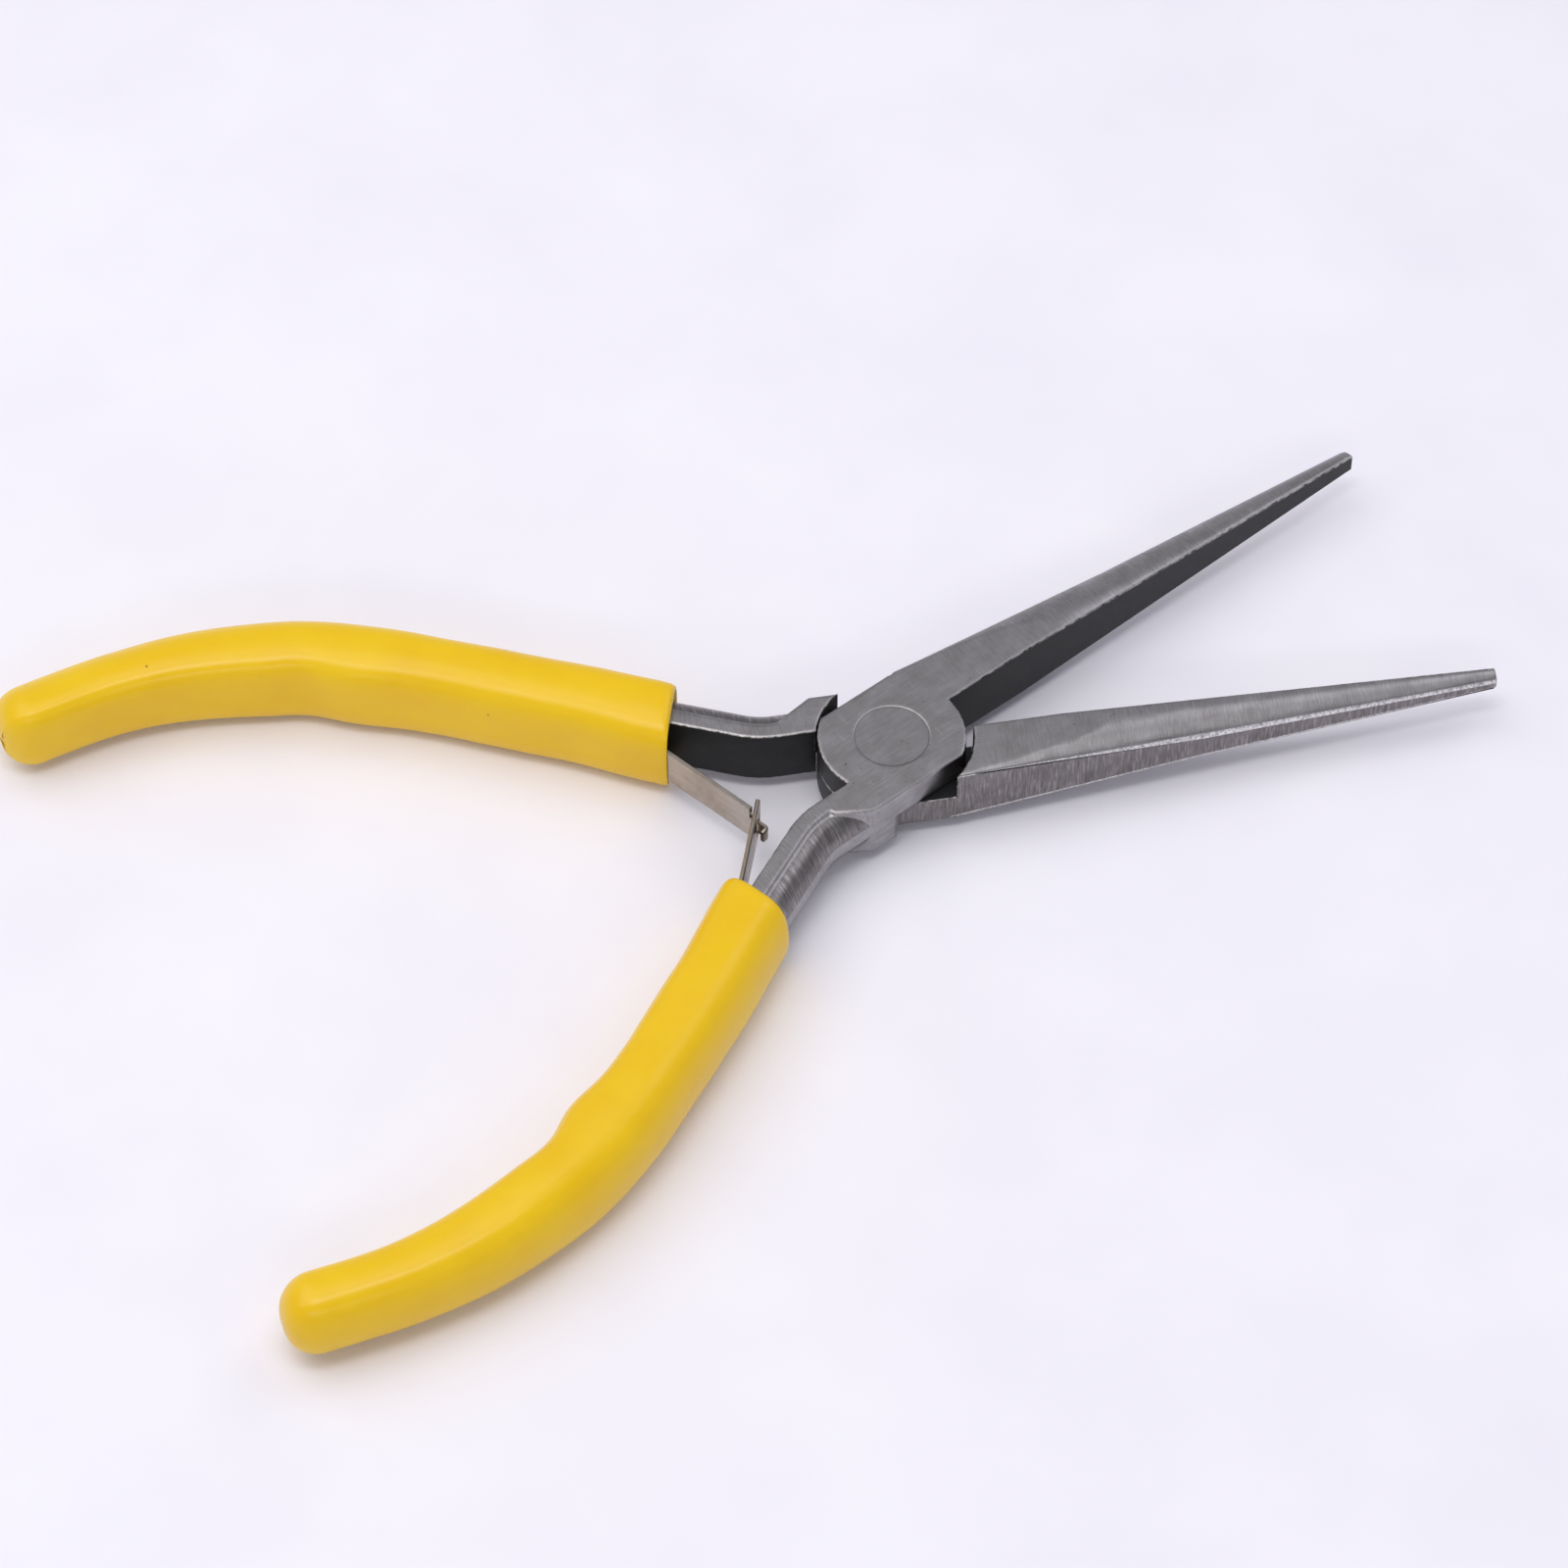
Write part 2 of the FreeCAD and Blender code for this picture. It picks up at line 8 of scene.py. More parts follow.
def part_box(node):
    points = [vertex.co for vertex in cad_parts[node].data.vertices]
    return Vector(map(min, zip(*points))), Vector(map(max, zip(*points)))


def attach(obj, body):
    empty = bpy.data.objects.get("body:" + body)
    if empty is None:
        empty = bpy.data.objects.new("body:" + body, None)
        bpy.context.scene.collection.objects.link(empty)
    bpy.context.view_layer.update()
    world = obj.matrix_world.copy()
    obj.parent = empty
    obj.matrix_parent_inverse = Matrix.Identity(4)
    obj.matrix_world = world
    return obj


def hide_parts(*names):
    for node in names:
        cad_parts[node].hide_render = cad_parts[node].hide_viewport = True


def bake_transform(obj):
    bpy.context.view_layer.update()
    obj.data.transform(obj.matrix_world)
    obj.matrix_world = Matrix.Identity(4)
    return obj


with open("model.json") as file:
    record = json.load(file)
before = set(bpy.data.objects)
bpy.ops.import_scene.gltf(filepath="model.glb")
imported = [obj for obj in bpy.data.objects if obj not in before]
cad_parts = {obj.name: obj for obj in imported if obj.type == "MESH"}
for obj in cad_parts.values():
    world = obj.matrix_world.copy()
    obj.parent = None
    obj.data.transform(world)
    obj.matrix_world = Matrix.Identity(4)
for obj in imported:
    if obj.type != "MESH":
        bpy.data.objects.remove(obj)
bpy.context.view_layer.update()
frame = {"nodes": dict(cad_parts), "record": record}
MM = 0.001

# ---------------------------------------------------------------- forged halves
# Two identical drop forgings in medium carbon steel, one turned over, each reaching from jaw tip to
# tang. Their flats, crowns and outer edges are belt ground bright. The gripping faces, lap edges and
# inner sides keep the black oxide of the heat treatment.

# The pivot closes from rest through the whole angle between the jaws.
HALF_OPEN = math.radians(frame["record"]["behaviour"]["joints"][0]["range_deg"][1] / 2)
RIVET_LOW, RIVET_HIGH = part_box("pivot_rivet")
MID_HEIGHT = (RIVET_LOW.z + RIVET_HIGH.z) / 2
TURN = {"upper": HALF_OPEN, "lower": -HALF_OPEN}
LAP_RADIUS = 7.4 * MM
LAP_SIDE = 6.2 * MM        # a lap's flats, off the middle of its half
EDGE_BREAK = 0.11 * MM     # sharp edges are just broken on the belt
RIDGE_ROUND = 0.35 * MM    # the ridge along a jaw, rounded between outer side and facet, and painted bright as a highlight
FACET_SOFT = 0.5 * MM      # how round the fine-ground faces look where they meet
STEEP = math.radians(35)   # edges steeper than this are broken
GROUND, OXIDISED, WORN, COARSE, PAINTED_GLINT = range(5)      # a forging's material slots


def half_frame(which):
    """From a half's own frame, jaw along +X and on its +Y side, to the pliers' frame."""
    over = Matrix.Rotation(math.pi if which == "lower" else 0, 4, "X")
    return Matrix.Translation((0, 0, MID_HEIGHT)) @ Matrix.Rotation(TURN[which], 4, "Z") @ over


def merged_copy(node_name):
    """A CAD node's skin with its loose triangles merged and its flats made whole."""
    work = bmesh.new()
    work.from_mesh(frame["nodes"][node_name].data)
    bmesh.ops.remove_doubles(work, verts=work.verts, dist=0.002 * MM)
    bmesh.ops.dissolve_limit(work, angle_limit=math.radians(0.6), verts=work.verts, edges=work.edges)
    return work


def round_edges(work, wanted, width, segments, slot):
    """Round the edges between two faces that a test picks, and give the new faces a slot."""
    chosen = [edge for edge in work.edges
              if len(edge.link_faces) == 2 and wanted(edge, edge.calc_face_angle())]
    bmesh.ops.bevel(work, geom=chosen, offset=width, segments=segments, profile=0.5,
                    affect="EDGES", clamp_overlap=False, loop_slide=False, material=slot)


def new_piece(name, work, materials, sharp_angle=38):
    """An object from a bmesh, with its materials and soft shading across its shallow edges."""
    mesh = bpy.data.meshes.new(name)
    work.to_mesh(mesh)
    work.free()
    for material in materials:
        mesh.materials.append(material)
    mesh.shade_smooth()
    mesh.set_sharp_from_angle(angle=math.radians(sharp_angle))
    piece = bpy.data.objects.new(name, mesh)
    bpy.context.scene.collection.objects.link(piece)
    return piece


def bake_modifiers(piece):
    """Turn an object with modifiers into its plain finished mesh."""
    graph = bpy.context.evaluated_depsgraph_get()
    baked = bpy.data.meshes.new_from_object(piece.evaluated_get(graph))
    piece.modifiers.clear()
    piece.data = baked


def keep_flats_flat(piece):
    """Let the large faces decide the shading, so that a broken edge doesn't tint a whole flat."""
    weighted = piece.modifiers.new("weighted", "WEIGHTED_NORMAL")
    weighted.keep_sharp, weighted.weight = True, 100
    bake_modifiers(piece)


def linear(hex_colour):
    """A scene-linear colour from an sRGB hex value."""
    values = [int(hex_colour[i:i + 2], 16) / 255 for i in (1, 3, 5)]
    return [v / 12.92 if v <= 0.04045 else ((v + 0.055) / 1.055) ** 2.4 for v in values] + [1.0]


def add(tree, kind, inputs=None, **settings):
    """Add a node with its settings. An input takes a value or another node's output."""
    made = tree.nodes.new(kind)
    for key, value in settings.items():
        setattr(made, key, value)
    for key, value in (inputs or {}).items():
        if isinstance(value, bpy.types.NodeSocket):
            tree.links.new(value, made.inputs[key])
        else:
            made.inputs[key].default_value = value
    return made


def new_material(name, **constants):
    """A material with one Principled shader, and its own object coordinates in metres."""
    material = bpy.data.materials.new(name)
    material.use_nodes = True
    tree = material.node_tree
    shader = tree.nodes["Principled BSDF"]
    for key, value in constants.items():
        shader.inputs[key.replace("_", " ")].default_value = value
    place = add(tree, "ShaderNodeTexCoord").outputs["Object"]
    return material, tree, shader, place


def streaks(tree, place, size_mm, detail=3.0):
    """Noise whose grains measure size_mm along x, y and z."""
    scale = [1 / (MM * size) for size in size_mm]
    grid = add(tree, "ShaderNodeVectorMath", {0: place, 1: scale}, operation="MULTIPLY")
    return add(tree, "ShaderNodeTexNoise", {"Vector": grid.outputs[0], "Scale": 1.0, "Detail": detail,
                                            "Roughness": 0.6}).outputs["Fac"]


def ramp(tree, fac, stops):
    """A colour ramp through (position, colour or grey) stops."""
    made = add(tree, "ShaderNodeValToRGB", {"Fac": fac})
    for index, (position, colour) in enumerate(stops):
        if index > 1:
            made.color_ramp.elements.new(position)
        element = made.color_ramp.elements[index]
        element.position = position
        element.color = colour if isinstance(colour, list) else [colour] * 3 + [1.0]
    return made.outputs["Color"]


def mix(tree, fac, first, second, blend="MIX"):
    """Mix two colours."""
    made = add(tree, "ShaderNodeMix", data_type="RGBA", blend_type=blend)
    for socket, value in ((made.inputs[0], fac), (made.inputs[6], first), (made.inputs[7], second)):
        if isinstance(value, bpy.types.NodeSocket):
            tree.links.new(value, socket)
        else:
            socket.default_value = value
    return made.outputs[2]


def half_turned(tree, place, which):
    """Object coordinates turned so that x runs along one half's jaw."""
    return add(tree, "ShaderNodeMapping", {"Vector": place, "Rotation": (0, 0, -TURN[which])},
               vector_type="POINT").outputs[0]


def from_rivet(tree, place):
    """Distance from the rivet's axis."""
    flat = add(tree, "ShaderNodeVectorMath", {0: place, 1: (1, 1, 0)}, operation="MULTIPLY")
    reach = add(tree, "ShaderNodeVectorMath", {0: flat.outputs[0]}, operation="LENGTH")
    return reach.outputs["Value"]


def lap_marks(tree, along):
    """Flat grinding: fine lines along the tool."""
    return streaks(tree, along, (3.2, 0.1, 0.5), 2.0)


def finish_steel(tree, shader, along, marks, colours, rough, depth, soft):
    """Colour, roughness and relief of a ground face from its grinding marks. Its edges look
    rounded to the radius soft. Returns the colour."""
    colour = ramp(tree, marks, [(stop, linear(hex_colour)) for stop, hex_colour in colours])
    blotches = streaks(tree, along, (2.6, 2.2, 2.2), 4.0)
    tone = ramp(tree, blotches, [(0.32, linear("#E6E3E3")), (0.68, linear("#FFFFFF"))])
    colour = mix(tree, 1.0, colour, tone, "MULTIPLY")
    nicks = ramp(tree, streaks(tree, along, (0.55, 0.3, 0.3), 2.0), [(0.24, 0.3), (0.29, 1.0)])
    colour = mix(tree, 1.0, colour, nicks, "MULTIPLY")
    scratches = ramp(tree, streaks(tree, along, (0.12, 2.4, 2.4), 1.0), [(0.74, 0.0), (0.8, 0.5)])
    colour = mix(tree, scratches, colour, linear("#E6E3E0"))
    softened = add(tree, "ShaderNodeBevel", {"Radius": soft}, samples=8).outputs[0]
    tree.links.new(colour, shader.inputs["Base Color"])
    tree.links.new(ramp(tree, marks, [(0.25, rough[0]), (0.75, rough[1])]), shader.inputs["Roughness"])
    bump = add(tree, "ShaderNodeBump", {
        "Height": marks, "Strength": 0.5, "Distance": depth, "Normal": softened})
    tree.links.new(bump.outputs[0], shader.inputs["Normal"])
    return colour


def ground_carbon_steel(which):
    """Belt-ground carbon steel: a cool grey that breaks up into fine bright and dark marks. They
    run across the jaw and the handle, and lengthwise over the lap, which is ground flat last."""
    material, tree, shader, place = new_material(f"ground_carbon_steel_{which}", Metallic=1.0)
    along = half_turned(tree, place, which)
    off_lap = add(tree, "ShaderNodeMapRange", {
        "Value": from_rivet(tree, place), "From Min": LAP_RADIUS + 0.3 * MM,
        "From Max": LAP_RADIUS + 3.5 * MM})
    across = streaks(tree, along, (0.11, 1.5, 1.5), 2.0)
    marks = mix(tree, off_lap.outputs[0], lap_marks(tree, along), across)
    finish_steel(tree, shader, along, marks, ((0.3, "#9B999A"), (0.5, "#A6A4A6"), (0.72, "#B7B5B6")),
                 (0.37, 0.29), 0.01 * MM, FACET_SOFT)
    return material


def coarse_ground_steel(which):
    """The jaw's outer side and the handle's rounded outer edges: darker, brownish and glossier than
    the other ground faces, with plain cross marks."""
    material, tree, shader, place = new_material(f"coarse_ground_steel_{which}", Metallic=1.0)
    along = half_turned(tree, place, which)
    across = streaks(tree, along, (0.22, 2.0, 2.0), 3.0)
    finish_steel(tree, shader, along, across, ((0.3, "#706D6D"), (0.52, "#868282"), (0.72, "#A7A3A2")),
                 (0.36, 0.27), 0.022 * MM, 0.12 * MM)
    return material


def black_oxide():
    """Black oxide on forged steel: near black, satin, with grey scuffs scattered over it."""
    material, tree, shader, place = new_material("black_oxide", Metallic=0.35, Roughness=0.46)
    cloud = streaks(tree, place, (1.6, 1.6, 1.6), 5.0)
    grain = streaks(tree, place, (0.25, 0.25, 0.25))
    colour = ramp(tree, cloud, [(0.3, linear("#0F1011")), (0.72, linear("#1F2124"))])
    scuffs = ramp(tree, grain, [(0.7, 0.0), (0.8, 0.35)])
    colour = mix(tree, scuffs, colour, linear("#6C6A68"))
    tree.links.new(colour, shader.inputs["Base Color"])
    bump = add(tree, "ShaderNodeBump", {"Height": grain, "Strength": 0.5, "Distance": 0.02 * MM})
    tree.links.new(bump.outputs[0], shader.inputs["Normal"])
    return material


def worn_edge():
    """Edge where belt grinding meets oxide: bright bare steel broken by black nicks."""
    material, tree, shader, place = new_material("worn_edge", Metallic=1.0, Roughness=0.38)
    nicks = streaks(tree, place, (0.6, 0.6, 0.6), 4.0)
    colour = ramp(tree, nicks, [(0.38, linear("#454342")), (0.5, linear("#8C8A88")),
                                (0.72, linear("#C8C5C1"))])
    tree.links.new(colour, shader.inputs["Base Color"])
    return material


def ridge_painted_highlight():
    """Painted highlight along each jaw's ridge: bright, grainy steel that stands in for the glint of
    light.
    """
    material, tree, shader, place = new_material("ridge_steel_painted_highlight", Metallic=1.0, Roughness=0.3)
    grain = streaks(tree, place, (0.3, 0.3, 0.3), 3.0)
    colour = ramp(tree, grain, [(0.34, linear("#A5A3A3")), (0.62, linear("#EDEBEA"))])
    tree.links.new(colour, shader.inputs["Base Color"])
    return material


OXIDE = black_oxide()
EDGE = worn_edge()
# Painted highlight for the jaws' ridges.
RIDGE = ridge_painted_highlight()


def keeps_oxide(middle, normal):
    """Whether a face is one that isn't ground, from its place and normal in its half's frame."""
    reach = math.hypot(middle.x, middle.y)
    # Flat faces are ground, but for those where the two laps run on each other.
    if abs(normal.z) > 0.75:
        return abs(middle.z) < 1 * MM and reach < 12 * MM
    # The gripping face and the throat.
    if middle.x > 5 * MM and normal.y < -0.7 and middle.y < 1 * MM:
        return True
    # The lap's round ends and the shoulders beside them, but not its two side flats.
    if reach < 8.7 * MM and not (abs(normal.y) > 0.9 and abs(middle.y) > LAP_SIDE - 0.1 * MM):
        return True
    # The handle's inner side.
    return middle.x < -6 * MM and normal.y > 0.75


def is_coarse(middle, normal):
    """Whether a face is a jaw's outer side or the rounding along the handle's outer edges."""
    if middle.x > 0:
        return normal.y > 0.7
    return middle.x < -8.5 * MM and 0.12 < abs(normal.z) < 0.985


def slots_beside(edge):
    """The material slots of the faces on both sides of an edge."""
    return {face.material_index for face in edge.link_faces}


def is_ridge(edge, angle, to_half):
    """Whether an edge runs along a jaw between its outer side and a facet."""
    along = all((to_half @ vert.co).x > 3 * MM for vert in edge.verts)
    return along and slots_beside(edge) == {GROUND, COARSE} and STEEP < angle < math.radians(70)


def forged_half(which):
    """One half, with its ground and its oxidised faces told apart."""
    node_name = f"{which}_half"
    work = merged_copy(node_name)
    to_half = half_frame(which).inverted()
    turn = to_half.to_3x3()
    for face in work.faces:
        middle, normal = to_half @ face.calc_center_median(), turn @ face.normal
        face.material_index = OXIDISED if keeps_oxide(middle, normal) else GROUND
        if is_coarse(middle, normal):
            face.material_index = COARSE
    # The ridge's rounding takes the painted highlight.
    round_edges(work, lambda edge, angle: is_ridge(edge, angle, to_half), RIDGE_ROUND, 5, PAINTED_GLINT)
    round_edges(work, lambda edge, angle: angle > STEEP and OXIDISED in slots_beside(edge),
                EDGE_BREAK, 3, WORN)
    round_edges(work, lambda edge, angle: angle > STEEP and WORN not in slots_beside(edge),
                EDGE_BREAK, 3, GROUND)
    piece = new_piece(f"forging_{which}", work, [
        ground_carbon_steel(which), OXIDE, EDGE, coarse_ground_steel(which), RIDGE], 33)
    keep_flats_flat(piece)
    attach(piece, node_name)
    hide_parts(node_name)


for which in ("upper", "lower"):
    forged_half(which)

# ---------------------------------------------------------------- pivot rivet
# A mild steel rivet, countersunk at both ends and ground flush with the laps, so that only a faint
# ring shows. It takes the same lengthwise marks as the upper lap.


def flush_rivet_steel():
    """Ground mild steel, hardly darker than the lap, with the lap's own lengthwise marks and a
    thin dark line round its head."""
    material, tree, shader, place = new_material("flush_rivet_steel", Metallic=1.0)
    along = half_turned(tree, place, "upper")
    steel = finish_steel(tree, shader, along, lap_marks(tree, along),
                         ((0.3, "#999798"), (0.5, "#A4A2A4"), (0.72, "#B5B3B4")), (0.37, 0.29),
                         0.01 * MM, 0.02 * MM)
    ring = add(tree, "ShaderNodeMapRange", {
        "Value": from_rivet(tree, place), "From Min": RIVET_HIGH.x - 0.16 * MM,
        "From Max": RIVET_HIGH.x, "To Max": 0.6})
    tree.links.new(mix(tree, ring.outputs[0], steel, linear("#5F5D5C")), shader.inputs["Base Color"])
    return material


def finish_node(node_name, material):
    """Give a CAD node that is shown as it is its finished material."""
    shown = frame["nodes"][node_name]
    shown.data.materials.clear()
    shown.data.materials.append(material)


finish_node("pivot_rivet", flush_rivet_steel())

# ---------------------------------------------------------------- leaf springs
# Two strips of nickel-plated spring steel, each riveted to the inner face of a tang inside its
# sleeve. The upper half's leaf ends in a slot, and the lower half's narrow tongue hooks through it.

SPLAY = math.radians(23.5)          # handle's angle from the gripping face's plane
CORNER = Vector((-12.8, -3.95)) * MM    # of the neck, on the handle's middle line
TANG_WIDE = 4.2 * MM
LEAF_ROOT = 12.8 * MM               # from the corner to where the leaves lift off
LEAF_TAIL = 8.0 * MM
LEAF_WIDE = 4.4 * MM
LEAF_THICK = 0.45 * MM
ROOT_BEND = 2.2 * MM
LIFT = {"upper": math.radians(18.5), "lower": math.radians(27)}
TONGUE_WIDE = 1.6 * MM
SLOT_LONG, SLOT_WIDE, SLOT_LAND = 1.5 * MM, 2.2 * MM, 0.6 * MM
TONGUE_PAST, HOOK_LONG = 0.75 * MM, 0.9 * MM

DOWN_HANDLE = Vector((-math.cos(SPLAY), -math.sin(SPLAY)))
TO_INSIDE = Vector((-math.sin(SPLAY), math.cos(SPLAY)))
ROOT = CORNER + LEAF_ROOT * DOWN_HANDLE + TANG_WIDE / 2 * TO_INSIDE


def turned(vector, angle):
    """A plan direction turned anticlockwise."""
    return Vector((vector.x * math.cos(angle) - vector.y * math.sin(angle),
                   vector.x * math.sin(angle) + vector.y * math.cos(angle)))


def crossing_reach():
    """How far from its root each leaf reaches to where the two cross."""
    root = turned(ROOT, HALF_OPEN)
    slope = {which: math.tan(SPLAY + HALF_OPEN + LIFT[which]) for which in LIFT}
    run = 2 * -root.y / (slope["upper"] + slope["lower"])
    return {which: run / math.cos(math.atan(slope[which])) for which in LIFT}


REACH = crossing_reach()


def leaf_line(lift, reach):
    """Plan points of a leaf's tang side: flat behind the root, a soft bend, then straight."""
    points = [ROOT + LEAF_TAIL * DOWN_HANDLE * (1 - step / 6) for step in range(6)]
    tangent = ROOT_BEND * math.tan(lift / 2)
    forward = -DOWN_HANDLE
    centre = ROOT - tangent * forward + ROOT_BEND * turned(forward, math.pi / 2)
    for step in range(7):
        points.append(centre + ROOT_BEND * turned(forward, lift * step / 6 - math.pi / 2))
    end = ROOT + reach * turned(forward, lift)
    start = points[-1]
    points += [start.lerp(end, step / 20) for step in range(1, 21)]
    return points


def strip(points, widths):
    """A bmesh strip on the left of a run of plan points, each ring with rounded corners."""
    work = bmesh.new()
    break_size = 0.1 * MM
    rings = []
    for index, point in enumerate(points):
        before, after = points[max(index - 1, 0)], points[min(index + 1, len(points) - 1)]
        along = (after - before).normalized()
        side = Vector((-along.y, along.x))
        half = widths[index] / 2
        outline = []
        for out, up in ((1, 1), (0, 1), (0, -1), (1, -1)):
            corner = side * (LEAF_THICK * out)
            inset = side * (break_size * (1 if out == 0 else -1))
            first, second = (corner + inset, half * up), (corner, (half - break_size) * up)
            outline += [first, second] if out * 2 - 1 != up else [second, first]
        rings.append([work.verts.new((point.x + o.x, point.y + o.y, z)) for o, z in outline])
    for first, second in zip(rings, rings[1:]):
        for index in range(len(first)):
            after = (index + 1) % len(first)
            work.faces.new((first[index], first[after], second[after], second[index]))
    work.faces.new(rings[0])
    work.faces.new(rings[-1])
    bmesh.ops.recalc_face_normals(work, faces=work.faces)
    return work


def slotted_strip():
    """The upper half's leaf with its slot cut through."""
    reach = REACH["upper"] + SLOT_LONG / 2 + SLOT_LAND
    points = leaf_line(LIFT["upper"], reach)
    piece = new_piece("leaf_slotted", strip(points, [LEAF_WIDE] * len(points)), [])
    direction = turned(-DOWN_HANDLE, LIFT["upper"])
    middle = ROOT + REACH["upper"] * direction
    cutter = bmesh.new()
    bmesh.ops.create_cube(cutter, size=1.0)
    angle = math.atan2(direction.y, direction.x)
    right_through = 4 * MM
    bmesh.ops.transform(cutter, verts=cutter.verts, matrix=(
        Matrix.Translation((middle.x, middle.y, 0)) @ Matrix.Rotation(angle, 4, "Z")
        @ Matrix.Diagonal((SLOT_LONG, right_through, SLOT_WIDE, 1))))
    block = new_piece("slot_cutter", cutter, [])
    cut = piece.modifiers.new("slot", "BOOLEAN")
    cut.object, cut.solver = block, "EXACT"
    bake_modifiers(piece)
    bpy.data.objects.remove(block)
    return piece


def hooked_strip():
    """The lower half's leaf: its shoulders stop at the slot, and its tongue hooks over past it."""
    shoulder = REACH["lower"] - SLOT_LONG / 2
    points = leaf_line(LIFT["lower"], shoulder)
    widths = [LEAF_WIDE] * len(points)
    direction = turned(-DOWN_HANDLE, LIFT["lower"])
    start = points[-1]
    length = SLOT_LONG + TONGUE_PAST - LEAF_THICK
    shoulder_round = 0.02 * MM
    points += [start + direction * (shoulder_round + length * step / 4) for step in range(5)]
    widths += [TONGUE_WIDE] * 5
    bend = LEAF_THICK * 1.15
    centre = points[-1] + bend * turned(direction, math.pi / 2)
    for step in range(1, 7):
        points.append(centre + bend * turned(direction, math.pi / 2 * step / 6 - math.pi / 2))
        widths.append(TONGUE_WIDE)
    points.append(points[-1] + turned(direction, math.pi / 2) * (HOOK_LONG - LEAF_THICK))
    widths.append(TONGUE_WIDE * 0.92)
    return new_piece("leaf_hooked", strip(points, widths), [])


def nickel_plated_spring_steel():
    """Nickel plate over rolled strip: a warm, soft gleam with faint lines along the strip."""
    material, tree, shader, place = new_material("nickel_plated_spring_steel", Metallic=1.0)
    lines = streaks(tree, place, (4.0, 4.0, 0.16), 2.0)
    stains = streaks(tree, place, (3.0, 3.0, 3.0), 3.0)
    colour = ramp(tree, lines, [(0.3, linear("#A9A096")), (0.7, linear("#BBB2A8"))])
    stain = ramp(tree, stains, [(0.3, linear("#E2DAD0")), (0.6, linear("#FFFFFF"))])
    tree.links.new(mix(tree, 1.0, colour, stain, "MULTIPLY"), shader.inputs["Base Color"])
    tree.links.new(ramp(tree, stains, [(0.3, 0.34), (0.7, 0.26)]), shader.inputs["Roughness"])
    bump = add(tree, "ShaderNodeBump", {"Height": lines, "Strength": 0.3, "Distance": 0.006 * MM})
    tree.links.new(bump.outputs[0], shader.inputs["Normal"])
    return material


NICKEL = nickel_plated_spring_steel()
for which, piece, node_name, leaf_body in (
        ("upper", slotted_strip(), "leaf_spring_slotted", "slotted_leaf"),
        ("lower", hooked_strip(), "leaf_spring_hooked", "hooked_leaf")):
    piece.data.materials.clear()
    piece.data.materials.append(NICKEL)
    placed = half_frame(which)
    piece.data.transform(placed)
    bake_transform(piece)
    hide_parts(node_name)
    finish_node(f"spring_rivet_{which}", NICKEL)

# ---------------------------------------------------------------- vinyl sleeves
# Dipped sleeves of plasticised PVC, pushed on warm over the tangs and over the springs' riveted
# ends, which swell the inner side at the mouth. The closed end runs on past the tang.

BAR_STRAIGHT = 35.0 * MM    # from the neck's corner to where the curl starts
CURL_RADIUS = 48.0 * MM
SLEEVE_TURN = math.radians(41)
TANG_TURN = math.radians(30)
SLEEVE_TAIL = 8.8 * MM
SLEEVE_SHIFT = 0.4 * MM
SLEEVE_WIDE, SLEEVE_THICK = 8.2 * MM, 9.7 * MM
SLEEVE_DOME = 3.4 * MM      # length of the closed end
LIP_ROUND = 0.95 * MM
SKIN_LEAST = 0.35 * MM      # the vinyl left where the leaf presses on it
PIN_ROOM = 0.9 * MM         # for the head of the leaf's rivet
LEAF_ROOM = 0.3 * MM
TANG_THICK = RIVET_HIGH.z - RIVET_LOW.z
TANG_FIT = 0.07 * MM
MOUTH = {"upper": 10.5 * MM, "lower": 8.5 * MM}         # seat of each mouth's middle
MOUTH_TILT = {"upper": math.radians(13), "lower": math.radians(7)}
SQUARE = {"upper": (2.5, 2.7), "lower": (3.2, 3.0)}     # squareness at the mouth and at mid length
SWELL = {"upper": 0.7 * MM, "lower": 0.3 * MM}          # of a bulge where the curl starts
DRIFT = {"upper": 0.15 * MM, "lower": -1.7 * MM}        # the closed end's lean to the inner side
RING = 72                   # points round a ring
INSIDE_RINGS, LIP_RINGS, OUTSIDE_RINGS, DOME_RINGS = 60, 7, 131, 12


def handle_point(length, side=0.0, turn_total=SLEEVE_TURN):
    """Plan point and heading at a length down the handle, and a distance to its inner side."""
    arc = CURL_RADIUS * turn_total
    turned_by = min(max(length - BAR_STRAIGHT, 0) / CURL_RADIUS, turn_total)
    heading = SPLAY - turned_by
    point = CORNER + min(length, BAR_STRAIGHT) * DOWN_HANDLE
    point += CURL_RADIUS * Vector((math.sin(heading) - math.sin(SPLAY),
                                   math.cos(SPLAY) - math.cos(heading)))
    tail = max(length - BAR_STRAIGHT - arc, 0)
    point += tail * Vector((-math.cos(heading), -math.sin(heading)))
    return point + side * Vector((-math.sin(heading), math.cos(heading))), heading


def ease(value, first, last):
    """Smooth step from 0 at first to 1 at last."""
    share = min(max((value - first) / (last - first), 0), 1)
    return share * share * (3 - 2 * share)


def hump(value, middle, spread):
    """A smooth hump of height 1."""
    return math.exp(-((value - middle) / spread) ** 2)


def mouth_lean(which, length):
    """How far a ring leans, which fades behind the mouth."""
    return MOUTH_TILT[which] * (1 - ease(length - MOUTH[which], 0, 8 * MM))


